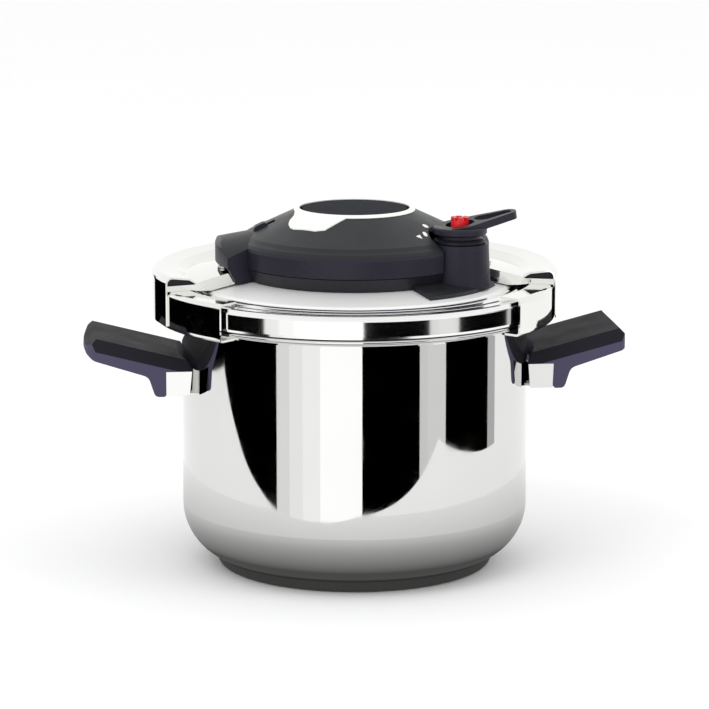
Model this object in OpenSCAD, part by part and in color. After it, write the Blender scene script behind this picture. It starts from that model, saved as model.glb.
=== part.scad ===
// Stovetop pressure cooker with a clamped lid: two sliding jaws hold the lid to the pot's flange,
// and a round button in the lid's housing opens them through a turning cam plate.
// Millimetres. Origin at the centre of the base's underside, +Z up, handles along X, front at -Y.

/* [Pot] */
// Outer radius of the pot wall
pot_r = 112; // [108:0.5:113]
// Thickness of the steel sheet of pot and lid
sheet_t = 1.2; // [0.8:0.1:1.5]
// Height of the pot's flange above the table
flange_z = 168.3; // [150:0.5:185]
// Radius of the rounded lower corner of the pot
corner_r = 36; // [30:1:38]
// Height of the pot's underside above the table
floor_z = 4.4; // [4:0.1:6]
// Radius of the encapsulated base where it stands on the hob
base_r = 87.5; // [84:0.5:89]

/* [Handles] */
// Width of each grip along the pot's rim
grip_w = 76; // [64:1:84]
// Distance from the pot's axis to the outer end of a grip
grip_reach = 175.5; // [165:0.5:185]
// Upward slope of the grip's top face, in degrees
grip_slope = 14.5; // [8:0.5:18]
// Height of the underside of the handle brackets
bracket_z = 119; // [100:1:122]

/* [Lid] */
// Outer radius of the lid's skirt
lid_r = 126; // [126:0.1:126.6]
// Radius of the black housing on the lid
housing_r = 76; // [75.6:0.1:76.4]

/* [Jaws] */
// Outward travel of each jaw
jaw_travel = 15; // [14.5:0.1:16]
// Angle from the handle axis to a jaw's front end
jaw_front_deg = 43.5; // [40:0.5:50]
// Angle from the handle axis to a jaw's back end
jaw_back_deg = 55; // [50:0.5:60]
// Angle from the handle axis at which the raised shoulder starts
step_deg = 18; // [16:0.5:18]

/* [Button and cam] */
// Radius of the round push button
button_r = 34; // [32:0.1:35]
// Downward travel of the button
press = 6; // [5:0.1:6]
// Turn of the cam plate over the whole travel, in degrees
cam_turn = 35; // [30:1:36]

/* [Valve] */
// Distance from the pot's axis to the valve
valve_arm = 75; // [74:0.1:76]
// Direction of the valve, in degrees from the handle axis towards the front
valve_deg = 33.4; // [33:0.1:36]
// Distance from the valve's axis to the tip of its finger lever
lever_reach = 41; // [36:0.5:42]

/* [Hidden] */
$fn = 96;

steel = "gainsboro";
satin_steel = "silver";
black = [0.13, 0.12, 0.15];
seal_grey = "dimgray";
ivory = [0.94, 0.94, 0.9];

gap = 0.15;             // clearance between fixed pieces that lie close together
bore_gap = 0.05;        // radial clearance of turning and sliding fits

// Levels above the table
corner_z = floor_z + corner_r;
rim_z = flange_z + 15.9;
ring_start_z = rim_z + 1;
deck_z = flange_z + 21.2;
floor_top_z = deck_z + 1.9;
carrier_z = deck_z + gap;
arm_z = deck_z + 2.65;
arm_t = 2;
cam_z = arm_z + arm_t + 0.4;
cam_t = 2;
cam_hub_top_z = cam_z + 5.6;
washer_t = 1;
cover_z = deck_z + 9.1;
eave_z = deck_z + 25;
ring_z = deck_z + 42;
button_z = deck_z + 43.7;
button_t = 3;

// Pot and base
bead_r = 1.6;
flange_r = pot_r + 12.5;
base_rim_r = base_r + 4;
base_skin = 0.8;

// Handles
bracket_h = 16;
bracket_draft = 1.7;
bracket_face_x = pot_r + 12.6;
screw_z = bracket_z + bracket_h / 2;
screw_r = 2.5;

// Lid
foot_r = housing_r - 4;
deck_r = foot_r + 0.5;
ring_start_r = 99;
post_hole_r = 4.2;
seat_hole_r = 5.2;
safety_hole_r = 4.2;
safety_y = 57;
safety_z = deck_z + gap;
housing_screw_r = 1.75;
housing_screw_arm = 62.5;
housing_screw_deg = [50, 130, 270];

// Jaws, described for the right-hand one
channel_t = 1.4;
channel_r = lid_r + 3.8;
channel_bottom_z = flange_z - 5.7;
channel_top_z = rim_z + 2.7;
channel_bend = 3;
lip_r = pot_r + 4;
top_lip_r = channel_r - 15.3;
cap_t = 1.2;
cap_r = channel_r + cap_t;
cap_bottom_z = channel_bottom_z + 2.4;
shoulder_r = 4.5;
shoulder_z = rim_z + 12;
valley_r = cap_r - 21.5;
valley_z = shoulder_z - 4.6;
tongue_r = 80;
tongue_z = shoulder_z + 1;

// Arms and cam
arm_w = 24;
arm_start = 14;
arm_end = 91;
rivet_x = 85.5;
rivet_y = 8;
rivet_r = 1.5;
pin_r = 3;
pin_start = 22;
slot_r = pin_r + 0.2;
cam_r = pin_start + jaw_travel + 9;
post_r = 6;
rail_w = 3;
carrier_r = cam_r + 4;
ramp_in = 20;
ramp_out = 28;
ramp_from_deg = 45;
ramp_to_deg = 100;
foot_from_deg = 82;
foot_to_deg = 98;
ramp_rise = press / cam_turn;
ramp_low_z = cam_z + cam_t + 1;
boss_r = 9;

// Cover
cover_t = 2.4;
hole_r = button_r + 1.6;
lobe_deg = 20;
lobe_wall_deg = 1.5;
lobe_r = 90;
lobe_right_r = 86.8;
lobe_top_z = eave_z + 3.1;
crown_r = 52;          // cross curvature of a lobe's top
crown_slope = 0.17;     // fall of a lobe's top outwards
cone_drop = (ring_z - eave_z) / (housing_r - 1 - (hole_r + 3.4));
cone_deg = atan(cone_drop);
slider_r = 58.5;
slider_travel = 5;
slider_w = 7.2;
slider_l = 9.6;
slider_slot_l = 15.2;

// Valve
shelf_r = 92.4;
valve_x = valve_arm * cos(valve_deg);
valve_y = -valve_arm * sin(valve_deg);
tower_r = 19.7;
tower_top_r = 18.4;
tower_z = deck_z + 26;
tower_bore_r = 12;
knob_r = 17.3;
knob_h = 10;
knob_z = tower_z + 0.5;
indicator_r = 5.7;
indicator_z = knob_z + 5;
indicator_h = 11;
lever_deg = 20;
lever_tilt = 9;
lever_tip_r = 6.6;
lever_root_r = 14.5;
lever_t = 4.8;
lever_z = knob_z + knob_h - 3;
seat_top_z = deck_z + 15;

// ---------------------------------------------------------------- outlines

function unit(v) = v / norm(v);

function turn_left(v) = [-v[1], v[0]];

// Arc from angle a to angle b about c, in n equal steps
function arc(c, r, a, b, n = 8) =
    [for (i = [0:n]) let (t = a + (b - a) * i / n) c + r * [cos(t), sin(t)]];

// Point i of an open path, moved by t to the path's left
function beside(p, i, t) =
    let (
        last = len(p) - 1,
        into = i > 0 ? unit(p[i] - p[i - 1]) : unit(p[1] - p[0]),
        out = i < last ? unit(p[i + 1] - p[i]) : unit(p[last] - p[last - 1]),
        m = unit(turn_left(into) + turn_left(out))
    )
    p[i] + m * t / (m * turn_left(into));

// Closed outline of a sheet of thickness t that lies to the left of an open path
function sheet(p, t) = concat(p, [for (i = [len(p) - 1:-1:0]) beside(p, i, t)]);

// Height of the housing's cone at a distance r from the axis
function cone_z(r) = eave_z + (housing_r - 1 - r) * cone_drop;

// Height of the lid's smooth cone between the housing and the rim ring
function lid_cone_z(r) = deck_z - (r - deck_r) * (deck_z - ring_start_z) / (ring_start_r - deck_r);

lid_path = concat(
    [[0, deck_z], [deck_r, deck_z], [ring_start_r, ring_start_z], [101, rim_z - 0.2], [103.4, rim_z - 0.6]],
    arc([107, rim_z - 1.5], 1.7, 135, 45, 4),
    [[110.6, rim_z - 0.8], [113.4, rim_z - 0.8]],
    arc([117, rim_z - 1.7], 1.7, 120, 60, 4),
    [[120.3, rim_z - 0.6]],
    arc([lid_r - 3, rim_z - 3.4], 3, 75, 0, 6),
    [[lid_r, flange_z + 3], [lid_r - 0.3, flange_z + 1.5]]
);

channel_path = concat(
    [[lip_r, channel_bottom_z]],
    arc([channel_r - channel_bend, channel_bottom_z + channel_bend], channel_bend, -90, 0),
    arc([channel_r - channel_bend, channel_top_z - channel_bend], channel_bend, 0, 90),
    [[top_lip_r, channel_top_z]]
);

shoulder_path = concat(
    [[cap_r, cap_bottom_z]],
    arc([cap_r - shoulder_r, shoulder_z - shoulder_r], shoulder_r, 0, 90),
    [[cap_r - 16.5, shoulder_z - 1.6], [valley_r, valley_z]]
);

tongue_path = [[89, shoulder_z - 0.2], [tongue_r, tongue_z]];

back_path = [[valley_r - 1.2, rim_z + 2]];

cover_path = [
    [housing_r + 0.2, cover_z],
    [housing_r + 0.2, eave_z - 4.8],
    [housing_r - 0.3, eave_z - 2.8],
    [housing_r - 1.6, eave_z - 1],
    [housing_r - 3.6, cone_z(housing_r - 3.6) - 0.9],
    [housing_r - 6, cone_z(housing_r - 6)],
    [hole_r + 3.4, ring_z],
    [hole_r, ring_z + 1]
];

// ---------------------------------------------------------------- shared shapes

module ring(r_in, r_out, z, h) {
    translate([0, 0, z]) difference() {
        cylinder(r = r_out, h = h);
        translate([0, 0, -1]) cylinder(r = r_in, h = h + 2);
    }
}

module at_valve() {
    translate([valve_x, valve_y, 0]) children();
}

// A solid below the housing's lobe surface, for cutting what stands on it
module housing_top(extra) {
    rotate_extrude() polygon([
        [0, deck_z - 20], [0, deck_z + 2.6 + extra], [housing_r - 3, deck_z + 2.6 + extra],
        [88, deck_z + 0.6 + extra], [shelf_r, deck_z - 1 + extra],
        [shelf_r + 1.1, lid_cone_z(shelf_r + 1.1) + gap + extra], [98, lid_cone_z(98) + gap + extra],
        [98, deck_z - 20]
    ]);
}

// Helical compression spring: round wire swept along a helix
module coil(r, wire, z0, z1, turns) {
    sides = 6;
    steps = 14;
    n = turns * steps;
    rise = z1 - z0 - wire;
    points = [
        for (i = [0:n], j = [0:sides - 1])
            let (a = 360 * i / steps, b = 360 * j / sides)
            [
                (r + wire / 2 * cos(b)) * cos(a),
                (r + wire / 2 * cos(b)) * sin(a),
                z0 + wire / 2 + rise * i / n + wire / 2 * sin(b)
            ]
    ];
    walls = [
        for (i = [0:n - 1], j = [0:sides - 1])
            let (k = (j + 1) % sides)
            [i * sides + j, i * sides + k, (i + 1) * sides + k, (i + 1) * sides + j]
    ];
    start = [[for (j = [sides - 1:-1:0]) j]];
    end = [[for (j = [0:sides - 1]) n * sides + j]];
    polyhedron(points, concat(walls, start, end));
}

// Ring sector whose upper or lower face is a helicoid that rises ramp_rise per degree
module helicoid(a0, a1, flat_z, slope_z) {
    steps = ceil((a1 - a0) / 4);
    points = [
        for (i = [0:steps], q = [[ramp_in, 0], [ramp_out, 0], [ramp_out, 1], [ramp_in, 1]])
            let (a = a0 + (a1 - a0) * i / steps)
            [q[0] * cos(a), q[0] * sin(a), q[1] == 0 ? flat_z : slope_z + (a - a0) * ramp_rise]
    ];
    walls = [
        for (i = [0:steps - 1], j = [0:3])
            let (k = (j + 1) % 4)
            [i * 4 + j, i * 4 + k, (i + 1) * 4 + k, (i + 1) * 4 + j]
    ];
    turned = slope_z < flat_z;
    faces = concat(walls, [[3, 2, 1, 0]], [[for (j = [0:3]) steps * 4 + j]]);
    polyhedron(points, turned ? [for (f = faces) [for (i = [len(f) - 1:-1:0]) f[i]]] : faces);
}

module mirrored_x() {
    mirror([1, 0, 0]) children();
}

// ---------------------------------------------------------------- pot

module pot_outline(inset) {
    intersection() {
        union() {
            translate([0, corner_z]) square([pot_r - inset, 10]);
            translate([0, floor_z + inset]) square([pot_r - corner_r, corner_r]);
            translate([pot_r - corner_r, corner_z]) circle(r = corner_r - inset);
        }
        square([pot_r + 1, corner_z + 9]);
    }
}

module pot_shell() {
    bend = 5;
    wall_path = concat(
        [[pot_r, corner_z + 8]],
        arc([pot_r + bend, flange_z - sheet_t - bend], bend, 180, 90),
        [[flange_r - 1.5, flange_z - sheet_t]]
    );
    color(steel) rotate_extrude() {
        difference() {
            pot_outline(0);
            pot_outline(sheet_t);
            translate([-1, corner_z + 8.5]) square([pot_r + 3, 10]);
        }
        polygon(sheet(wall_path, sheet_t));
        translate([flange_r - bead_r, flange_z - 0.7]) circle(r = bead_r, $fn = 32);
    }
}

module base_outline(inset) {
    difference() {
        polygon(concat(
            [[0, inset], [base_r - 2 - inset / 2, inset]],
            arc([base_r - 2, 4], 4 - inset, -70, -25, 4),
            [[base_rim_r - inset, floor_z + 3.4], [0, floor_z + 3.4]]
        ));
        pot_outline(-0.02);
    }
}

module base_core() {
    color("darkgray") rotate_extrude() base_outline(base_skin);
}

module base_cap() {
    color(satin_steel) rotate_extrude() difference() {
        base_outline(0);
        base_outline(base_skin);
        translate([0, base_skin]) square([base_r - 8, 10]);
    }
}

// ---------------------------------------------------------------- handles

module bracket_right() {
    color(steel) difference() {
        translate([pot_r - 10, 0, bracket_z]) rotate([90, 0, 90]) linear_extrude(bracket_face_x - pot_r + 10)
            polygon([
                [-grip_w / 2 + bracket_draft, 0], [grip_w / 2 - bracket_draft, 0],
                [grip_w / 2, bracket_h], [-grip_w / 2, bracket_h]
            ]);
        cylinder(r = pot_r + 0.02, h = flange_z);
        for (side = [-1, 1])
            translate([bracket_face_x - 16.4, side * grip_w / 2, bracket_z + bracket_h / 2])
                rotate(side * 40) translate([-20, 0, 0]) cube([40, 16, bracket_h + 2], center = true);
        translate([pot_r - 12, 0, screw_z]) rotate([0, 90, 0]) cylinder(r = screw_r, h = 40);
    }
}

module bracket_left() {
    mirrored_x() bracket_right();
}

// Side view of the grip, extruded across its width
module grip_block() {
    top_z = bracket_z + 26;
    rise = tan(grip_slope);
    leg_w = 8;
    inner_x = bracket_face_x;
    end_x = grip_reach - 7;
    rotate([90, 0, 0]) translate([0, 0, -grip_w / 2]) linear_extrude(grip_w) polygon(concat(
        [[pot_r - 4, top_z - 12 * rise], [pot_r - 4, bracket_z + bracket_h], [inner_x, bracket_z + bracket_h]],
        [[inner_x, bracket_z + 1], [inner_x + 1, bracket_z]],
        arc([inner_x + leg_w - 3.5, bracket_z + 3.5], 3.5, -90, -15, 5),
        arc([inner_x + 16, bracket_z + 8.2], 6, 165, 110, 5),
        [[grip_reach - 1, bracket_z + 25.4], [grip_reach, bracket_z + 27], [grip_reach - 0.6, bracket_z + 30.6]],
        [[end_x, top_z + (end_x - inner_x) * rise]]
    ));
}

// Everything inside the grip's end view: chamfered along both long edges
module grip_section() {
    half = grip_w / 2;
    top_z = bracket_z + 26;
    translate([bracket_face_x, 0, top_z]) rotate([0, -grip_slope, 0])
        rotate([90, 0, 90]) translate([0, 0, -60]) linear_extrude(140) polygon([
            [-half, -90], [half, -90], [half, -7.5], [half - 5.5, 0], [-half + 5.5, 0], [-half, -7.5]
        ]);
}

// Plan view: the outer end is bowed and its corners are cut
module grip_plan() {
    half = grip_w / 2;
    translate([0, 0, bracket_z - 1]) linear_extrude(90) polygon(concat(
        [[pot_r - 20, -half - 1], [grip_reach - 7, -half - 1]],
        arc([grip_reach - 150, 0], 150, -asin((half - 3) / 150), asin((half - 3) / 150), 12),
        [[grip_reach - 7, half + 1], [pot_r - 20, half + 1]]
    ));
}

module grip_right() {
    scoop_z = bracket_z + bracket_h;
    color(black) difference() {
        intersection() {
            grip_block();
            grip_section();
            grip_plan();
        }
        translate([0, 0, scoop_z - 0.01]) cylinder(r1 = pot_r + 1.5, r2 = pot_r + 6, h = 12);
        translate([0, 0, scoop_z + 11.9]) cylinder(r1 = pot_r + 6, r2 = pot_r + 12, h = 12);
        translate([bracket_face_x - 1, 0, screw_z]) rotate([0, 90, 0]) cylinder(r = screw_r + 0.2, h = 20);
        translate([bracket_face_x + 4, 0, screw_z]) rotate([0, 90, 0]) cylinder(r = 4.8, h = 40);
    }
}

module grip_left() {
    mirrored_x() grip_right();
}

module grip_screw() {
    translate([pot_r + 1, 0, screw_z]) rotate([0, 90, 0]) {
        cylinder(r = screw_r - 0.02, h = bracket_face_x + 4 - pot_r - 1 + 0.05);
        difference() {
            translate([0, 0, bracket_face_x + 4 - pot_r - 0.95]) cylinder(r = 4.5, h = 2.6);
            translate([0, 0, bracket_face_x + 4 - pot_r + 0.4]) cylinder(r = 2.2, h = 5, $fn = 6);
        }
    }
}

module grip_screws() {
    color(satin_steel) {
        grip_screw();
        mirrored_x() grip_screw();
    }
}

// ---------------------------------------------------------------- lid

module lid_shell() {
    color(steel) difference() {
        rotate_extrude() polygon(sheet(lid_path, -sheet_t));
        translate([0, 0, deck_z - 9]) {
            cylinder(r = post_hole_r, h = 20);
            at_valve() cylinder(r = seat_hole_r, h = 20);
            translate([0, safety_y, 0]) cylinder(r = safety_hole_r, h = 20);
            for (a = housing_screw_deg)
                rotate(a) translate([housing_screw_arm, 0, 0]) cylinder(r = housing_screw_r + 0.3, h = 20);
        }
    }
}

module gasket() {
    in_r = pot_r + 2;
    out_r = lid_r - sheet_t - 0.4;
    top = rim_z - 3.4;
    color(seal_grey) rotate_extrude() difference() {
        polygon([
            [in_r, flange_z + 0.1], [flange_r - 4.2, flange_z + 0.1], [flange_r - 4.2, flange_z + 1.6],
            [out_r, flange_z + 1.8], [out_r, top - 3], [out_r - 3, top], [in_r, top]
        ]);
        polygon([
            [in_r - 1, flange_z + 2.6], [in_r + 5, flange_z + 4.5], [in_r + 5, top - 3.6], [in_r - 1, top - 2]
        ]);
    }
}

// ---------------------------------------------------------------- housing

// Where the lower housing carries the valve
module valve_lobe_plan() {
    translate([0, 0, deck_z - 6]) {
        at_valve() cylinder(r = tower_r - 1, h = 12);
        rotate_extrude(start = -66, angle = 44) translate([60, 0]) square([40, 12]);
    }
}

module lower_housing() {
    color(black) difference() {
        union() {
            rotate_extrude() polygon([
                [carrier_r + 0.5, deck_z + gap], [foot_r - 0.3, deck_z + gap],
                [foot_r, deck_z + 0.6], [housing_r, cover_z - 0.5], [housing_r - 2.4, cover_z - 0.5],
                [foot_r - 2.2, floor_top_z], [carrier_r + 0.5, floor_top_z]
            ]);
            intersection() {
                valve_lobe_plan();
                rotate_extrude() polygon([
                    [foot_r - 2, deck_z + gap], [deck_r, deck_z + gap],
                    [shelf_r + 1, lid_cone_z(shelf_r + 1) + gap], [shelf_r, deck_z - 1], [88, deck_z + 0.6],
                    [housing_r - 3, deck_z + 2.6], [foot_r - 2, deck_z + 2.6]
                ]);
            }
        }
        for (side = [0, 180])
            rotate(side) translate([foot_r - 6, -arm_w / 2 - 1, arm_z - 0.4]) cube([16, arm_w + 2, 12]);
        for (side = [0, 180])
            rotate(side) rotate_extrude(start = -lobe_deg - 0.4, angle = 2 * lobe_deg + 0.8)
                translate([foot_r - 0.2, deck_z - 5]) square([40, 30]);
        at_valve() translate([0, 0, deck_z + 2.65]) cylinder(r = tower_r + gap, h = 20);
        translate([0, 0, deck_z - 2]) {
            at_valve() cylinder(r = 11, h = 5.5);
            translate([0, safety_y, 0]) cylinder(r = 8, h = 6);
            for (a = housing_screw_deg)
                rotate(a) translate([housing_screw_arm, 0, 0]) cylinder(r = 4.3, h = 12);
        }
    }
}

// Side view of a lobe that reaches out to r
module lobe_outline(r) {
    polygon([
        [foot_r, deck_z + 0.3], [r - 6, deck_z + 0.3], [r - 1.2, deck_z + 8.8], [r, deck_z + 10.2],
        [r, lobe_top_z - 6.4], [r - 1, lobe_top_z - 4], [r - 3, lobe_top_z - 2.6], [r - 10, lobe_top_z + 9],
        [60, lobe_top_z + 9], [60, cone_z(60) - 1], [housing_r - 1.5, cone_z(housing_r - 1.5) - 1],
        [housing_r - 1.5, cover_z], [foot_r, cover_z]
    ]);
}

module lobe_pocket_outline(r) {
    polygon([
        [62.5, deck_z - 3], [100, deck_z - 3], [100, deck_z + 10], [r - 2, deck_z + 10],
        [r - 2, lobe_top_z - 7.2], [r - 4.4, lobe_top_z - 5.2], [62.5, lobe_top_z + 9]
    ]);
}

// Barrel along the handle axis, falling outwards, that rounds the top of a lobe
module lobe_crown(drop) {
    translate([housing_r, 0, lobe_top_z - drop]) rotate([0, atan(crown_slope), 0])
        translate([-24, 0, -crown_r]) rotate([0, 90, 0]) cylinder(r = crown_r, h = 50, $fn = 192);
}

// Lobe over one jaw's arm, reaching out to r
module lobe(r) {
    intersection() {
        rotate_extrude(start = -lobe_deg, angle = 2 * lobe_deg) lobe_outline(r);
        lobe_crown(0);
    }
}

module lobe_pocket(r) {
    half = lobe_deg - lobe_wall_deg;
    intersection() {
        rotate_extrude(start = -half, angle = 2 * half) lobe_pocket_outline(r);
        lobe_crown(cover_t);
    }
}

module slider_place() {
    rotate(180) translate([slider_r, 0, cone_z(slider_r)]) rotate([0, cone_deg, 0]) children();
}

module cover() {
    color(black) difference() {
        union() {
            rotate_extrude() polygon(sheet(cover_path, cover_t));
            lobe(lobe_right_r);
            rotate(180) lobe(lobe_r);
            for (a = housing_screw_deg)
                rotate(a) translate([housing_screw_arm, 0, deck_z + gap])
                    cylinder(r = 4, h = cone_z(housing_screw_arm + 4) - deck_z - 1);
        }
        lobe_pocket(lobe_right_r);
        rotate(180) lobe_pocket(lobe_r);
        at_valve() translate([0, 0, deck_z - 1]) cylinder(r = tower_r + 0.4, h = 60);
        for (a = housing_screw_deg)
            rotate(a) translate([housing_screw_arm, 0, deck_z - 2]) cylinder(r = housing_screw_r, h = 16);
        slider_place() translate([-slider_slot_l / 2, -slider_w / 2 - 0.3, -10])
            cube([slider_slot_l, slider_w + 0.6, 20]);
    }
}

// Thin layer of height h on the cover's cone
module cone_skin(h) {
    low = housing_r - 1.2;
    high = hole_r + 2;
    rotate_extrude() polygon(sheet([[low, cone_z(low)], [high, cone_z(high)]], -h));
}

module trim_ring() {
    tab = [[39, 186], [43, 199], [47.4, 203], [51, 208], [53.4, 213.5], [54.2, 218], [53.7, 235.4], [52, 242.5], [39, 256]];
    color(ivory) {
        rotate_extrude() polygon([
            [hole_r, ring_z + 1.03], [hole_r + 3.4, ring_z + 0.02], [hole_r + 3.6, ring_z + 0.3],
            [hole_r + 2.4, ring_z + 1.3], [hole_r + 0.6, ring_z + 1.9], [hole_r, ring_z + 1.7]
        ]);
        intersection() {
            translate([0, 0, 0.06]) cone_skin(0.7);
            translate([0, 0, eave_z]) linear_extrude(30)
                polygon(concat([for (p = tab) p[0] * [cos(p[1]), sin(p[1])]], [[-28, -24]]));
        }
    }
}

// Three generic signs beside the knob: open triangle, small portion, large portion
module position_marks() {
    color(ivory) intersection() {
        translate([0, 0, 0.02]) cone_skin(0.3);
        at_valve() translate([0, 0, eave_z - 5]) linear_extrude(40) {
            rotate(197.8) translate([28.4, 0]) circle(r = 2.2, $fn = 3);
            rotate(188.4) translate([23, 0]) {
                translate([0, 1]) circle(r = 1.3, $fn = 24);
                translate([0, -1]) circle(r = 1.3, $fn = 24);
                translate([-1.3, -1]) square([2.6, 2]);
            }
            rotate(157.5) translate([22.6, 0]) circle(r = 1.9, $fn = 24);
        }
    }
}

module housing_screws() {
    color(satin_steel) for (a = housing_screw_deg)
        rotate(a) translate([housing_screw_arm, 0, 0]) {
            translate([0, 0, deck_z - sheet_t - 2]) difference() {
                cylinder(r = 3.6, h = 1.9);
                translate([0, 0, -1]) cylinder(r = 1.6, h = 2, $fn = 6);
            }
            translate([0, 0, deck_z - sheet_t - 0.2]) cylinder(r = housing_screw_r - 0.05, h = 13);
        }
}

// ---------------------------------------------------------------- opening mechanism

module carrier_plate() {
    inner = arm_start + 7;
    rail_y = arm_w / 2 + 0.2;
    rail_l = sqrt(pow(carrier_r, 2) - pow(rail_y + rail_w + 0.8, 2)) - inner - 1;
    color(satin_steel) difference() {
        union() {
            translate([0, 0, carrier_z]) cylinder(r = carrier_r, h = arm_z - carrier_z - 0.1);
            for (side = [0, 180], way = [-1, 1])
                rotate(side) translate([inner, way * (rail_y + rail_w / 2) - rail_w / 2, carrier_z])
                    cube([rail_l, rail_w, arm_z + arm_t - carrier_z]);
        }
        translate([0, 0, carrier_z - 1]) cylinder(r = post_hole_r, h = 5);
    }
}

module centre_post() {
    color(steel) {
        translate([0, 0, deck_z - 9]) cylinder(r = 4, h = arm_z - deck_z + 9.1);
        translate([0, 0, arm_z - 0.05]) cylinder(r = 11.5, h = cam_z - arm_z - 0.15);
        translate([0, 0, cam_z - 1]) cylinder(r = post_r, h = button_z - press - 8 - cam_z + 1);
    }
}

module post_nut() {
    color(satin_steel) difference() {
        translate([0, 0, deck_z - sheet_t - 5]) cylinder(r = 7.5, h = 4.95, $fn = 6);
        translate([0, 0, deck_z - 12]) cylinder(r = 4.02, h = 20);
    }
}

module thrust_washer() {
    color(satin_steel) ring(post_r + bore_gap, 13, cam_hub_top_z + 0.1, washer_t);
}

// Spiral slot of the cam plate: the pin's radius grows evenly as the plate turns
module cam_slot() {
    steps = 14;
    function at(u) = let (r = pin_start + u * jaw_travel, a = -u * cam_turn) r * [cos(a), sin(a)];
    function side(u, s) =
        let (d = unit(at(u + 0.001) - at(u - 0.001)))
        at(u) + s * slot_r * turn_left(d);
    translate([0, 0, cam_z - 1]) linear_extrude(cam_t + 2) {
        polygon(concat(
            [for (i = [0:steps]) side(i / steps, 1)],
            [for (i = [steps:-1:0]) side(i / steps, -1)]
        ));
        translate(at(0)) circle(r = slot_r);
        translate(at(1)) circle(r = slot_r);
    }
}

module cam_plate() {
    color(satin_steel) difference() {
        union() {
            translate([0, 0, cam_z]) cylinder(r = cam_r, h = cam_t);
            translate([0, 0, cam_z]) cylinder(r = 10, h = cam_hub_top_z - cam_z);
            for (side = [0, 180])
                rotate(side) helicoid(ramp_from_deg, ramp_to_deg, cam_z + cam_t - 0.5, ramp_low_z);
        }
        translate([0, 0, cam_z - 1]) cylinder(r = post_r + bore_gap, h = 20);
        for (side = [0, 180]) rotate(side) cam_slot();
    }
}

module arm_right() {
    pad_z = tongue_z - cap_t;
    color(satin_steel) difference() {
        translate([0, arm_w / 2, 0]) rotate([90, 0, 0]) linear_extrude(arm_w) polygon([
            [arm_start, arm_z], [arm_end, arm_z], [arm_end, arm_z + arm_t + 0.1], [89, pad_z - 1.5],
            [81, pad_z - 0.45], [80.4, arm_z + arm_t], [arm_start, arm_z + arm_t]
        ]);
        translate([pin_start, 0, arm_z - 1]) cylinder(r = 2, h = 5);
        for (y = [-rivet_y, rivet_y]) translate([rivet_x, y, arm_z - 1]) cylinder(r = rivet_r, h = 8);
    }
}

module arm_left() {
    mirrored_x() arm_right();
}

module cam_pin_right() {
    color(steel) translate([pin_start, 0, 0]) {
        translate([0, 0, arm_z]) cylinder(r = 2, h = arm_t + 0.5);
        translate([0, 0, arm_z + arm_t]) cylinder(r = pin_r, h = cam_z + cam_t - 0.2 - arm_z - arm_t);
    }
}

module cam_pin_left() {
    mirrored_x() cam_pin_right();
}

module arm_rivets_right() {
    color(steel) for (y = [-rivet_y, rivet_y]) translate([rivet_x, y, 0]) {
        translate([0, 0, arm_z]) cylinder(r = rivet_r, h = tongue_z - arm_z);
        translate([0, 0, tongue_z - 0.65]) cylinder(r = 2.6, h = 1.1);
    }
}

module arm_rivets_left() {
    mirrored_x() arm_rivets_right();
}

module button() {
    floor_z1 = button_z - button_t;
    stop_z = ring_z - 2.9;
    lip_r = hole_r + 1.6;
    boss_z = cam_hub_top_z + washer_t + 8;
    color(black) {
        rotate_extrude() polygon(concat(
            [[0, floor_z1], [button_r - 2, floor_z1], [button_r - 2, stop_z - 1.5]],
            [[lip_r, stop_z - 1.5], [lip_r, stop_z], [button_r, stop_z]],
            arc([button_r - 1.2, button_z - 1.2], 1.2, 0, 90, 4),
            [[button_r - 4, button_z - 0.1], [button_r - 12, button_z + 0.3], [0, button_z + 0.6]]
        ));
        difference() {
            translate([0, 0, boss_z]) cylinder(r = boss_r, h = floor_z1 + 0.5 - boss_z);
            translate([0, 0, cam_hub_top_z]) cylinder(r = post_r + bore_gap, h = button_z - 7 - cam_hub_top_z);
        }
        for (side = [0, 180])
            rotate(side) helicoid(foot_from_deg, foot_to_deg, floor_z1 + 0.5,
                ramp_low_z + (foot_from_deg - ramp_from_deg) * ramp_rise + 0.3);
    }
}

module button_spring() {
    color(steel) coil(boss_r + 2.6, 1.4, cam_hub_top_z + washer_t + 0.15, button_z - button_t - 0.05, 6);
}

// ---------------------------------------------------------------- jaws

module sector(path, t, from, to) {
    rotate_extrude(start = from, angle = to - from) polygon(sheet(path, t));
}

module jaw_right() {
    color(steel) sector(channel_path, channel_t, -jaw_front_deg, jaw_back_deg);
}

module jaw_left() {
    mirrored_x() jaw_right();
}

// Upright plate of thickness cap_t in the radial plane at angle a
module cheek(a, points) {
    rotate(a) rotate([90, 0, 0]) translate([0, 0, -cap_t / 2]) linear_extrude(cap_t) polygon(points);
}

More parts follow.
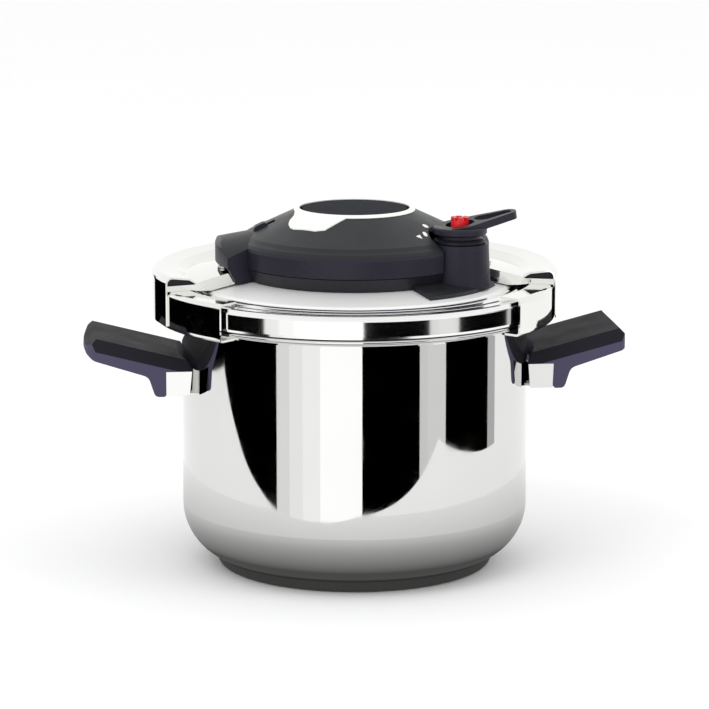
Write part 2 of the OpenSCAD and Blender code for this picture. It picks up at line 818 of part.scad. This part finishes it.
module jaw_cap_right() {
    edge = cap_t * 0.5 / (valley_r * PI / 180);
    tongue_cheek = [
        [84, lid_cone_z(84) + 1.2], [84, tongue_z - 1.2], [89, shoulder_z - 0.9],
        [valley_r + 0.5, valley_z - 0.6], [valley_r - 0.5, rim_z + 2], [100, rim_z + 1.6]
    ];
    step_cheek = [
        [valley_r - 1.5, rim_z + 2], [valley_r, valley_z - 0.6], [valley_r + 2, channel_top_z + 3.6],
        [channel_r + 0.6, channel_top_z + 3.6], [channel_r + 0.6, channel_top_z + 0.05],
        [top_lip_r - 1, channel_top_z + 0.05]
    ];
    end_cheek = [
        [valley_r - 1, rim_z + 2], [valley_r, valley_z - 0.6], [cap_r - 16.5, shoulder_z - 2.2],
        [cap_r - shoulder_r, shoulder_z - 0.6], [cap_r - 1.2, shoulder_z - 3.4],
        [cap_r - 0.6, channel_top_z + 0.05], [top_lip_r - 1, channel_top_z + 0.05]
    ];
    color(steel) difference() {
        union() {
            sector(concat(shoulder_path, tongue_path), cap_t, -step_deg, step_deg);
            sector(concat(shoulder_path, back_path), cap_t, step_deg - 0.3, jaw_back_deg);
            cheek(-step_deg + edge, tongue_cheek);
            cheek(-step_deg + edge, step_cheek);
            cheek(step_deg - edge, tongue_cheek);
            cheek(jaw_back_deg - edge * 0.85, end_cheek);
        }
        for (y = [-rivet_y, rivet_y])
            translate([rivet_x, y, 0]) {
                translate([0, 0, tongue_z - 4]) cylinder(r = rivet_r, h = 8);
                translate([0, 0, tongue_z - 0.67]) cylinder(r = 2.65, h = 8);
            }
    }
}

module jaw_cap_left() {
    mirrored_x() jaw_cap_right();
}

// Plastic core that fills the shoulder and shows in the opening at its front end
module jaw_core_right() {
    color(black) rotate_extrude(start = -step_deg + 1.2, angle = step_deg + jaw_back_deg - 2.6) polygon([
        [valley_r + 1.6, channel_top_z + 0.1], [channel_r - 0.1, channel_top_z + 0.1],
        [channel_r - 0.1, shoulder_z - shoulder_r], [cap_r - shoulder_r, shoulder_z - cap_t - 0.3],
        [cap_r - 16, shoulder_z - 3.2], [valley_r + 1.6, valley_z - 0.6]
    ]);
}

module jaw_core_left() {
    mirrored_x() jaw_core_right();
}

// ---------------------------------------------------------------- valve

module valve_tower() {
    color(black) difference() {
        at_valve() translate([0, 0, deck_z - 2]) cylinder(r1 = tower_r, r2 = tower_top_r, h = tower_z - deck_z + 2);
        at_valve() translate([0, 0, deck_z - 3]) cylinder(r = tower_bore_r, h = 60);
        housing_top(0.05);
    }
}

module valve_seat() {
    color("goldenrod") at_valve() difference() {
        union() {
            translate([0, 0, deck_z - 9]) cylinder(r = seat_hole_r - 0.2, h = 12);
            translate([0, 0, deck_z + 0.2]) cylinder(r = 9, h = 2.4);
            translate([0, 0, deck_z + 2]) cylinder(r = 5.5, h = seat_top_z - deck_z - 2);
        }
        translate([0, 0, deck_z - 12]) cylinder(r = 1.8, h = 60);
        translate([0, 0, seat_top_z - 2.2]) cylinder(r1 = 1.8, r2 = 4, h = 2.21);
    }
}

module valve_nut() {
    color(satin_steel) at_valve() difference() {
        translate([0, 0, deck_z - 7.4]) cylinder(r = 8.6, h = 3.9, $fn = 6);
        translate([0, 0, deck_z - 12]) cylinder(r = seat_hole_r - 0.18, h = 20);
    }
}

module steam_filter() {
    top = deck_z - 7.5;
    color(satin_steel) at_valve() difference() {
        translate([0, 0, top - 8]) cylinder(r = 8, h = 8);
        translate([0, 0, top - 7.2]) cylinder(r = 7.2, h = 6.2);
        translate([0, 0, top - 2]) cylinder(r = seat_hole_r - 0.18, h = 5);
        for (a = [0:60:359])
            rotate(a) translate([4.6, 0, top - 9]) cylinder(r = 1.1, h = 3);
        translate([0, 0, top - 9]) cylinder(r = 1.1, h = 3);
    }
}

module relief_plunger() {
    color(steel) at_valve() {
        translate([0, 0, seat_top_z - 1.4]) cylinder(r1 = 2.2, r2 = 3.6, h = 1.5);
        translate([0, 0, seat_top_z + 0.1]) cylinder(r = 6.5, h = 3);
        translate([0, 0, seat_top_z + 3]) cylinder(r = 3.6, h = 5);
    }
}

module relief_spring() {
    color(steel) at_valve() coil(4.9, 0.9, seat_top_z + 3.2, indicator_z - 1.75, 6);
}

// Two circles joined by a tapering bar, whose sides stand a hair inside the circles' tangents
module lever_plan(tip, root, reach) {
    tilt = asin((root - tip) / (reach - tip));
    side = 0.995 * [sin(tilt), cos(tilt)];
    far = [reach - tip, 0];
    circle(r = root);
    translate(far) circle(r = tip);
    polygon([
        root * side, far + tip * side,
        far + tip * [side[0], -side[1]], root * [side[0], -side[1]]
    ]);
}

module valve_knob() {
    color(black) at_valve() difference() {
        union() {
            rotate_extrude() polygon(concat(
                [[0, knob_z - 4.5], [tower_bore_r - 0.07, knob_z - 4.5], [tower_bore_r - 0.07, knob_z]],
                [[knob_r - 0.9, knob_z], [knob_r - 0.7, knob_z + 1.6], [13.4, knob_z + 2.8]],
                [[13.2, knob_z + 4.4], [knob_r - 0.8, knob_z + 5.2], [knob_r, knob_z + 6]],
                arc([knob_r - 1.5, knob_z + knob_h - 1.5], 1.5, 0, 90, 4),
                [[0, knob_z + knob_h]]
            ));
            rotate(lever_deg) translate([0, 0, lever_z]) rotate([0, -lever_tilt, 0]) linear_extrude(lever_t)
                lever_plan(lever_tip_r, lever_root_r, lever_reach);
        }
        translate([0, 0, indicator_z - 0.2]) cylinder(r = indicator_r + bore_gap + 0.05, h = 30);
        translate([0, 0, knob_z + 6.2]) cylinder(r = 9.2, h = 30);
        translate([0, 0, knob_z - 6]) cylinder(r = 7.4, h = indicator_z - 1.7 - knob_z + 6);
        translate([0, 0, knob_z - 1]) cylinder(r = 3, h = 10);
        rotate(lever_deg) translate([0, 0, lever_z]) rotate([0, -lever_tilt, 0])
            translate([18.4, 0, -4]) linear_extrude(lever_t + 12)
                lever_plan(lever_tip_r - 3, 6.4, lever_reach - 3 - 18.4);
    }
}

module red_indicator() {
    color("crimson") at_valve() {
        difference() {
            translate([0, 0, indicator_z]) cylinder(r = indicator_r, h = indicator_h);
            for (a = [0:60:179])
                rotate(a) translate([-10, -0.9, indicator_z + indicator_h - 2.1]) cube([20, 1.8, 4]);
        }
        translate([0, 0, seat_top_z + 10.6]) cylinder(r = 2.6, h = indicator_z - seat_top_z - 10);
    }
}

module lock_slider() {
    slider_end = slider_slot_l / 2 - 0.2;
    color(black) slider_place() {
        translate([slider_end - slider_l, -slider_w / 2, -3.2]) cube([slider_l, slider_w, 4]);
        translate([slider_end - slider_l, 0, 0.6]) rotate([90, 0, 0]) translate([0, 0, -slider_w / 2])
            linear_extrude(slider_w) polygon([
                [0, 0], [0.8, 1.2], [2.5, 1.7], [slider_l - 2.5, 1.7], [slider_l - 0.8, 1.2], [slider_l, 0]
            ]);
        translate([slider_end - slider_l - 0.6, -slider_w / 2 - 1.8, -4.6])
            cube([slider_l + 1.2, slider_w + 3.6, 1.5]);
    }
}

// ---------------------------------------------------------------- safety valve

module at_safety() {
    translate([0, safety_y, 0]) children();
}

module safety_body() {
    color("goldenrod") at_safety() difference() {
        union() {
            translate([0, 0, deck_z - 7]) cylinder(r = safety_hole_r - 0.1, h = 9);
            translate([0, 0, safety_z]) cylinder(r = 5, h = 13);
        }
        translate([0, 0, deck_z - 8]) cylinder(r = 1.6, h = 12);
        translate([0, 0, safety_z + 3]) cylinder(r = 3.55, h = 9);
        translate([0, 0, safety_z + 11]) cylinder(r = 2.6, h = 4);
    }
}

module safety_nut() {
    color(satin_steel) at_safety() difference() {
        translate([0, 0, deck_z - sheet_t - 4]) cylinder(r = 7, h = 3.95, $fn = 6);
        translate([0, 0, deck_z - 12]) cylinder(r = safety_hole_r - 0.08, h = 20);
    }
}

module safety_plunger() {
    color(steel) at_safety() {
        translate([0, 0, safety_z + 3.2]) cylinder(r = 3.5, h = 2);
        translate([0, 0, safety_z + 5]) cylinder(r = 1.5, h = 3);
    }
}

module safety_spring() {
    color(steel) at_safety() coil(2.6, 0.6, safety_z + 5.3, safety_z + 11.9, 5);
}

// ---------------------------------------------------------------- assembly

pot_shell();
base_core();
base_cap();
bracket_left();
bracket_right();
grip_left();
grip_right();
grip_screws();
lid_shell();
gasket();
lower_housing();
carrier_plate();
centre_post();
post_nut();
thrust_washer();
cover();
trim_ring();
position_marks();
housing_screws();
valve_tower();
valve_seat();
valve_nut();
steam_filter();
safety_body();
safety_nut();
safety_plunger();
safety_spring();
jaw_left();
jaw_cap_left();
jaw_core_left();
arm_left();
cam_pin_left();
arm_rivets_left();
jaw_right();
jaw_cap_right();
jaw_core_right();
arm_right();
cam_pin_right();
arm_rivets_right();
cam_plate();
button();
button_spring();
valve_knob();
red_indicator();
relief_plunger();
relief_spring();
lock_slider();
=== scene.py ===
"""A stovetop pressure cooker with a clamped lid: finishes, fine detail, studio and camera,
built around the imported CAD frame. Metres, in the CAD's frame: +Z up, handles along X, front at -Y."""

import math

import bpy
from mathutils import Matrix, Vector

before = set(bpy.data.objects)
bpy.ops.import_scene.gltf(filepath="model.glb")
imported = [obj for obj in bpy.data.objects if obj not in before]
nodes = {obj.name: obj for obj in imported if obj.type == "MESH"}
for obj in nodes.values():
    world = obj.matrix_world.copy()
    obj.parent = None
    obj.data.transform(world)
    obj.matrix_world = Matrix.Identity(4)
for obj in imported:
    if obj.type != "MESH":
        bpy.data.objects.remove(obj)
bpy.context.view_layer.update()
scene = bpy.context.scene

CAMERA_AZIMUTH = -6.5  # degrees; below 0 is left of the front
CAMERA_ELEVATION = 12.0
CAMERA_DISTANCE = 2.2
CAMERA_PIVOT_Z = 0.1
CAMERA_AIM_Z = 0.13635
CAMERA_LENS = 171.33

LID_SATIN_RADIUS = 0.1005  # where the lid's satin middle meets its polished rim
LID_RIM_BLEND = 0.0015  # width of the change from satin to polished

CARD_HEIGHT = 0.17
SHADE_INNER_RADIUS = 0.085  # the pot's shade on the table, under the base
SHADE_DARK_RADIUS = 0.100  # where the shade starts to fade
SHADE_OUTER_RADIUS = 0.335  # where the table is fully lit again
SHADE_LIFT = 0.0004  # the shade lies this far above the table
SHADE_CURVE = 0.52  # below 1: the shade fades fast near the pot
FLOOR_HALF = 14.0
SKY_STRENGTH = 1.08
BEVEL_ANGLE = 28  # degrees; flatter edges keep their shape

FLAKE_COLOUR = (0.16, 0.12, 0.26)
GRAIN_SCALE = 2600.0  # grain cells and flakes per metre


# ---------------------------------------------------------------- node helpers


def new_material(name, colour, metallic, roughness, specular=0.5):
    """A Principled material and the handles that the finishes below build on."""
    material = bpy.data.materials.new(name)
    material.use_nodes = True
    tree = material.node_tree
    shader = tree.nodes["Principled BSDF"]
    shader.inputs["Base Color"].default_value = (*colour, 1)
    shader.inputs["Metallic"].default_value = metallic
    shader.inputs["Roughness"].default_value = roughness
    shader.inputs["Specular IOR Level"].default_value = specular
    coords = tree.nodes.new("ShaderNodeTexCoord")
    return material, tree, shader, coords.outputs["Object"]


def noise(tree, coords, scale, detail=2.0, roughness=0.5):
    """Cloudy values around 0.5; scale is about the number of clouds per metre."""
    node = tree.nodes.new("ShaderNodeTexNoise")
    node.inputs["Scale"].default_value = scale
    node.inputs["Detail"].default_value = detail
    node.inputs["Roughness"].default_value = roughness
    tree.links.new(coords, node.inputs["Vector"])
    return node.outputs["Fac"]


def remap(tree, value, low, high, out_low, out_high):
    """Values from low to high stretched to out_low to out_high and held there beyond."""
    node = tree.nodes.new("ShaderNodeMapRange")
    node.inputs["From Min"].default_value = low
    node.inputs["From Max"].default_value = high
    node.inputs["To Min"].default_value = out_low
    node.inputs["To Max"].default_value = out_high
    tree.links.new(value, node.inputs["Value"])
    return node.outputs["Result"]


def mixed(tree, factor, first, second):
    """Blend of two colours, each given as a plain colour or as a node's output."""
    node = tree.nodes.new("ShaderNodeMix")
    node.data_type = "RGBA"
    for socket, colour in (("A", first), ("B", second)):
        if isinstance(colour, tuple):
            node.inputs[socket].default_value = (*colour, 1)
        else:
            tree.links.new(colour, node.inputs[socket])
    tree.links.new(factor, node.inputs["Factor"])
    return node.outputs["Result"]


def maths(tree, operation, first, *rest):
    """A maths node of one socket's value and, after it, plain numbers or further sockets."""
    node = tree.nodes.new("ShaderNodeMath")
    node.operation = operation
    tree.links.new(first, node.inputs[0])
    for index, value in enumerate(rest, start=1):
        if isinstance(value, (int, float)):
            node.inputs[index].default_value = value
        else:
            tree.links.new(value, node.inputs[index])
    return node.outputs["Value"]


def bump(tree, shader, height, distance):
    """Relief of the given depth in metres, on top of any that the shader already has."""
    node = tree.nodes.new("ShaderNodeBump")
    node.inputs["Strength"].default_value = 1.0
    node.inputs["Distance"].default_value = distance
    tree.links.new(height, node.inputs["Height"])
    if shader.inputs["Normal"].is_linked:
        tree.links.new(shader.inputs["Normal"].links[0].from_socket, node.inputs["Normal"])
    tree.links.new(node.outputs["Normal"], shader.inputs["Normal"])


# ---------------------------------------------------------------- finishes


def polished_steel(name, colour, base_roughness, waviness):
    """Mirror-polished sheet: faint smudges in the gloss and the slight waviness of a pressing."""
    material, tree, shader, coords = new_material(name, colour, 1.0, base_roughness)
    smudge = noise(tree, coords, 38.0, 4.0, 0.62)
    gloss = remap(tree, smudge, 0.42, 0.75, base_roughness, base_roughness + 0.05)
    tree.links.new(gloss, shader.inputs["Roughness"])
    tarnish = remap(tree, noise(tree, coords, 9.0), 0.35, 0.7, 0, 1)
    dull = tuple(0.965 * c for c in colour)
    tree.links.new(mixed(tree, tarnish, colour, dull), shader.inputs["Base Color"])
    bump(tree, shader, noise(tree, coords, 22.0, 1.0), waviness)
    return material


def radius_from_axis(tree, coords):
    """A point's distance from the pot's vertical axis, and its height."""
    split = tree.nodes.new("ShaderNodeSeparateXYZ")
    tree.links.new(coords, split.inputs["Vector"])
    flat = tree.nodes.new("ShaderNodeCombineXYZ")
    for axis in "XY":
        tree.links.new(split.outputs[axis], flat.inputs[axis])
    length = tree.nodes.new("ShaderNodeVectorMath")
    length.operation = "LENGTH"
    tree.links.new(flat.outputs["Vector"], length.inputs[0])
    return length.outputs["Value"], split.outputs["Z"]


def lid_steel(name, colour):
    """Lid sheet: a satin middle with fine circular lines and a polished, beaded rim."""
    material, tree, shader, coords = new_material(name, colour, 1.0, 0.1)
    radius, _ = radius_from_axis(tree, coords)
    rings = tree.nodes.new("ShaderNodeCombineXYZ")
    tree.links.new(radius, rings.inputs["X"])
    lines = noise(tree, rings.outputs["Vector"], 1800.0)
    edge = (LID_SATIN_RADIUS, LID_SATIN_RADIUS + LID_RIM_BLEND)
    tree.links.new(remap(tree, radius, *edge, 0.35, 1.0), shader.inputs["Metallic"])
    gloss = remap(tree, radius, *edge, 0.5, 0.07)
    tree.links.new(maths(tree, "MULTIPLY_ADD", lines, 0.06, gloss), shader.inputs["Roughness"])
    tarnish = remap(tree, noise(tree, coords, 12.0), 0.35, 0.7, 0, 1)
    dull = tuple(0.96 * c for c in colour)
    tree.links.new(mixed(tree, tarnish, colour, dull), shader.inputs["Base Color"])
    bump(tree, shader, lines, 0.000004)
    return material


def turned_steel(name, colour, roughness, line_scale):
    """Steel with the fine rings that turning leaves around the vertical axis."""
    material, tree, shader, coords = new_material(name, colour, 1.0, roughness)
    radius, height = radius_from_axis(tree, coords)
    rings = tree.nodes.new("ShaderNodeCombineXYZ")
    tree.links.new(radius, rings.inputs["X"])
    tree.links.new(height, rings.inputs["Y"])
    lines = noise(tree, rings.outputs["Vector"], line_scale, 3.0, 0.6)
    gloss = remap(tree, lines, 0.3, 0.7, roughness - 0.07, roughness + 0.1)
    tree.links.new(gloss, shader.inputs["Roughness"])
    bump(tree, shader, lines, 0.00003)
    return material


def grained_plastic(name, colour, painted_sheen_colour, roughness, specular, grain, flakes):
    """Moulded plastic with a fine spark-eroded grain and violet mica flakes.

    Steep faces take the second colour, a painted violet sheen in place of the light they catch; flatter
    faces take the first, the plastic's own colour.
    """
    material, tree, shader, coords = new_material(name, colour, 0.0, roughness, specular)
    facing = tree.nodes.new("ShaderNodeSeparateXYZ")
    surface = tree.nodes.new("ShaderNodeNewGeometry")
    tree.links.new(surface.outputs["Normal"], facing.inputs["Vector"])
    # Painted sheen: steep faces get the violet sheen colour by their slope, flatter faces keep the
    # plastic's own colour.
    sheen_slope_mask = remap(tree, maths(tree, "ABSOLUTE", facing.outputs["Z"]), 0.25, 0.6, 0, 1)
    cells = tree.nodes.new("ShaderNodeTexVoronoi")
    cells.inputs["Scale"].default_value = GRAIN_SCALE
    tree.links.new(coords, cells.inputs["Vector"])
    chosen = tree.nodes.new("ShaderNodeSeparateColor")
    tree.links.new(cells.outputs["Color"], chosen.inputs["Color"])
    flake = remap(tree, chosen.outputs["Red"], 0.94, 1.0, 0, flakes)
    body_with_painted_sheen = mixed(tree, sheen_slope_mask, painted_sheen_colour, colour)
    tree.links.new(mixed(tree, flake, body_with_painted_sheen, FLAKE_COLOUR), shader.inputs["Base Color"])
    tree.links.new(flake, shader.inputs["Metallic"])
    soft = noise(tree, coords, 60.0, 3.0)
    gloss = remap(tree, soft, 0.3, 0.7, roughness - 0.04, roughness + 0.05)
    tree.links.new(gloss, shader.inputs["Roughness"])
    bump(tree, shader, noise(tree, coords, GRAIN_SCALE, 2.0, 0.6), grain)
    return material


def smooth_plastic(name, colour, roughness, specular, variation=0.12):
    """Plain moulded plastic or rubber with slight clouds in its colour and gloss."""
    material, tree, shader, coords = new_material(name, colour, 0.0, roughness, specular)
    cloud = noise(tree, coords, 140.0, 3.0)
    lighter = tuple(min(1.0, c * (1 + variation)) for c in colour)
    shade = remap(tree, cloud, 0.35, 0.65, 0, 1)
    tree.links.new(mixed(tree, shade, colour, lighter), shader.inputs["Base Color"])
    gloss = remap(tree, cloud, 0.3, 0.7, roughness - 0.03, roughness + 0.04)
    tree.links.new(gloss, shader.inputs["Roughness"])
    bump(tree, shader, noise(tree, coords, 1800.0), 0.00001)
    return material


MIRROR = polished_steel("mirror_steel", (0.70, 0.70, 0.69), 0.02, 0.00002)
PRESSED = polished_steel("pressed_steel", (0.82, 0.82, 0.79), 0.05, 0.00003)
LID = lid_steel("lid_steel", (0.88, 0.88, 0.87))
SATIN = turned_steel("satin_steel", (0.42, 0.41, 0.40), 0.28, 3200.0)
MACHINED = turned_steel("machined_steel", (0.62, 0.61, 0.60), 0.3, 2400.0)
ALUMINIUM = turned_steel("base_aluminium", (0.72, 0.72, 0.74), 0.4, 1800.0)
BRASS = turned_steel("valve_brass", (0.78, 0.57, 0.25), 0.25, 2600.0)
# The second colour of each plastic is a painted violet sheen for its steep faces.
HOUSING = grained_plastic(
    "housing_plastic", (0.013, 0.015, 0.016), (0.014, 0.012, 0.023), 0.4, 0.27, 0.00004, 0.14
)
HANDLE = grained_plastic(
    "handle_plastic", (0.013, 0.013, 0.015), (0.074, 0.066, 0.112), 0.44, 0.022, 0.00004, 0.08
)
BUTTON = smooth_plastic("button_plastic", (0.034, 0.036, 0.040), 0.6, 0.001)
RED = smooth_plastic("indicator_plastic", (0.62, 0.008, 0.012), 0.3, 0.5, 0.3)
IVORY = smooth_plastic("trim_plastic", (0.84, 0.83, 0.79), 0.4, 0.4, 0.03)
RUBBER = smooth_plastic("gasket_rubber", (0.05, 0.05, 0.055), 0.6, 0.3)

FINISH = {
    "pot_shell": MIRROR,
    "base_cap": SATIN,
    "base_core": ALUMINIUM,
    "lid_shell": LID,
    "gasket": RUBBER,
    "button": BUTTON,
    "red_indicator": RED,
    "trim_ring": IVORY,
    "position_marks": IVORY,
    "valve_seat": BRASS,
    "safety_body": BRASS,
}
for side in ("left", "right"):
    FINISH["bracket_" + side] = MIRROR
    FINISH["jaw_" + side] = PRESSED
    FINISH["jaw_cap_" + side] = PRESSED
    FINISH["grip_" + side] = HANDLE
    FINISH["jaw_core_" + side] = HOUSING
for plastic in ("lower_housing", "cover", "valve_tower", "valve_knob", "lock_slider"):
    FINISH[plastic] = HOUSING


def apply_finishes():
    """Give every CAD node its finish, or machined steel where it has none of its own."""
    for name, node in nodes.items():
        node.data.materials.clear()
        node.data.materials.append(FINISH.get(name, MACHINED))


def soften_edges(name, width):
    """A small moulded or pressed radius on a node's sharp edges."""
    bevel = nodes[name].modifiers.new("edge", "BEVEL")
    bevel.width = width
    bevel.segments = 3
    bevel.limit_method = "ANGLE"
    bevel.angle_limit = math.radians(BEVEL_ANGLE)
    bevel.harden_normals = False


# ---------------------------------------------------------------- studio


def place(x, y):
    """World position of a point given by its distance right of the axis and towards the camera."""
    a = math.radians(CAMERA_AZIMUTH)
    return Vector((x * math.cos(a) + y * math.sin(a), x * math.sin(a) - y * math.cos(a), 0))


def glow(name, level):
    """A plain white light of the given level; the second result is its emission shader."""
    material = bpy.data.materials.new(name)
    material.use_nodes = True
    tree = material.node_tree
    tree.nodes.clear()
    emission = tree.nodes.new("ShaderNodeEmission")
    emission.inputs["Color"].default_value = (1, 1, 1, 1)
    emission.inputs["Strength"].default_value = level
    output = tree.nodes.new("ShaderNodeOutputMaterial")
    tree.links.new(emission.outputs["Emission"], output.inputs["Surface"])
    return material, emission


def show_in_reflections_only(card):
    """Add a card to the studio, hidden from the camera and from diffuse light."""
    scene.collection.objects.link(card)
    card.visible_camera = False
    card.visible_diffuse = False
    card.visible_shadow = False
    card.visible_transmission = False


def reflector(name, level, points):
    """A studio card that stands on the floor along points and is seen only in reflections."""
    vertices, faces = [], []
    for x, y in points:
        p = place(x, y)
        vertices += [(p.x, p.y, 0), (p.x, p.y, CARD_HEIGHT)]
    for i in range(len(points) - 1):
        faces.append((2 * i, 2 * i + 2, 2 * i + 3, 2 * i + 1))
    mesh = bpy.data.meshes.new(name)
    mesh.from_pydata(vertices, [], faces)
    mesh.materials.append(glow(name, level)[0])
    show_in_reflections_only(bpy.data.objects.new(name, mesh))


# Level of each card, 0 for black, and its plan as distances right of the axis and towards the camera.
CARDS = {
    "card_left": (0, [(-0.42, -0.66), (-0.64, -0.46), (-0.80, 0.0), (-0.533, 0.135)]),
    "card_left_front": (0, [(-0.533, 0.135), (-0.325, 0.217), (-0.234, 0.243)]),
    "card_front_a": (0.96, [(-0.234, 0.243), (-0.19, 0.262)]),
    "card_front_b": (1.1, [(-0.19, 0.262), (-0.15, 0.28)]),
    "card_front_c": (1.2, [(-0.15, 0.28), (-0.10, 0.30)]),
    "card_front_d": (1.42, [(-0.10, 0.30), (0.025, 0.34)]),
    "card_centre": (0, [(0.025, 0.34), (0.270, 0.346)]),
    "card_right_a": (0.8, [(0.270, 0.346), (0.33, 0.348)]),
    "card_right_b": (0.85, [(0.33, 0.348), (0.44, 0.35), (0.448, 0.30)]),
    "card_right": (0, [(0.448, 0.30), (0.470, 0.156), (0.484, 0.011)]),
    "card_right_c": (0.55, [(0.484, 0.011), (0.488, -0.05)]),
}


def cards():
    """White, grey and black cards that stand round the pot for its polished steel to reflect."""
    for name, (level, points) in CARDS.items():
        reflector(name, level, points)


def table_shade():
    """The pot's own shade on the table, seen only where the rounded bottom corner reflects it."""
    steps = 96
    angles = [2 * math.pi * i / steps for i in range(steps)]
    radii = (SHADE_INNER_RADIUS, SHADE_OUTER_RADIUS)
    vertices = [(r * math.cos(a), r * math.sin(a), SHADE_LIFT) for r in radii for a in angles]
    faces = [(i, (i + 1) % steps, steps + (i + 1) % steps, steps + i) for i in range(steps)]
    mesh = bpy.data.meshes.new("table_shade")
    mesh.from_pydata(vertices, [], faces)
    material, emission = glow("table_shade", 1.0)
    tree = material.node_tree
    coords = tree.nodes.new("ShaderNodeTexCoord")
    radius, _ = radius_from_axis(tree, coords.outputs["Object"])
    distance = remap(tree, radius, SHADE_DARK_RADIUS, SHADE_OUTER_RADIUS, 0.01, 1.0)
    tree.links.new(maths(tree, "POWER", distance, SHADE_CURVE), emission.inputs["Strength"])
    mesh.materials.append(material)
    show_in_reflections_only(bpy.data.objects.new("table_shade", mesh))


def softbox(name, position, aim, side, power):
    """A square lamp that lights the scene but is not itself reflected."""
    light = bpy.data.lights.new(name, "AREA")
    light.shape = "SQUARE"
    light.size = side
    light.energy = power
    lamp = bpy.data.objects.new(name, light)
    lamp.location = position
    lamp.rotation_euler = (Vector(aim) - Vector(position)).to_track_quat("-Z", "Y").to_euler()
    lamp.visible_glossy = False
    lamp.visible_camera = False
    scene.collection.objects.link(lamp)


def floor():
    """A plain pale table top that runs out of sight."""
    mesh = bpy.data.meshes.new("floor")
    corners = [(-1, -1), (1, -1), (1, 1), (-1, 1)]
    mesh.from_pydata([(x * FLOOR_HALF, y * FLOOR_HALF, 0) for x, y in corners], [], [(0, 1, 2, 3)])
    ground = bpy.data.objects.new("floor", mesh)
    paint, faded = (0.95, 0.95, 0.95), (0.94, 0.94, 0.94)
    material, tree, shader, coords = new_material("floor_paint", paint, 0.0, 0.9, 0.1)
    tree.links.new(mixed(tree, noise(tree, coords, 3.0), paint, faded), shader.inputs["Base Color"])
    mesh.materials.append(material)
    scene.collection.objects.link(ground)


def sky():
    """Even white surroundings, a little darker straight above."""
    world = bpy.data.worlds.new("studio")
    scene.world = world
    world.use_nodes = True
    tree = world.node_tree
    background = tree.nodes["Background"]
    coords = tree.nodes.new("ShaderNodeTexCoord")
    split = tree.nodes.new("ShaderNodeSeparateXYZ")
    tree.links.new(coords.outputs["Generated"], split.inputs["Vector"])
    ramp = tree.nodes.new("ShaderNodeValToRGB")
    ramp.color_ramp.elements[0].position = 0.0
    ramp.color_ramp.elements[0].color = (1.0, 1.0, 1.0, 1)
    ramp.color_ramp.elements[1].position = 1.0
    ramp.color_ramp.elements[1].color = (0.93, 0.93, 0.935, 1)
    tree.links.new(split.outputs["Z"], ramp.inputs["Fac"])
    tree.links.new(ramp.outputs["Color"], background.inputs["Color"])
    background.inputs["Strength"].default_value = SKY_STRENGTH


def camera():
    """The camera on its circle round the pot, looking at the aim point."""
    a, e = math.radians(CAMERA_AZIMUTH), math.radians(CAMERA_ELEVATION)
    back = Vector((math.sin(a) * math.cos(e), -math.cos(a) * math.cos(e), math.sin(e)))
    position = Vector((0, 0, CAMERA_PIVOT_Z)) + back * CAMERA_DISTANCE
    data = bpy.data.cameras.new("camera")
    data.lens = CAMERA_LENS
    data.sensor_width = 36
    data.clip_end = 30
    view = bpy.data.objects.new("camera", data)
    view.location = position
    view.rotation_euler = (Vector((0, 0, CAMERA_AIM_Z)) - position).to_track_quat("-Z", "Y").to_euler()
    scene.collection.objects.link(view)
    scene.camera = view


EDGE_WIDTHS = {
    "grip_left": 0.0008,
    "grip_right": 0.0008,
    "bracket_left": 0.0006,
    "bracket_right": 0.0006,
    "cover": 0.0005,
    "lower_housing": 0.0003,
    "valve_tower": 0.0004,
    "valve_knob": 0.0004,
    "red_indicator": 0.0002,
    "lock_slider": 0.0003,
    "trim_ring": 0.0001,
    "jaw_left": 0.0003,
    "jaw_right": 0.0003,
    "jaw_cap_left": 0.0003,
    "jaw_cap_right": 0.0003,
}

apply_finishes()
for name, width in EDGE_WIDTHS.items():
    soften_edges(name, width)

camera()
floor()
sky()
cards()
table_shade()
pot_middle = (0, 0, CAMERA_PIVOT_Z)
softbox("key", (-0.9, -1.2, 1.8), pot_middle, 1.2, 9)
softbox("fill", (1.3, -0.9, 1.4), pot_middle, 1.0, 4)
scene.view_settings.view_transform = "Standard"
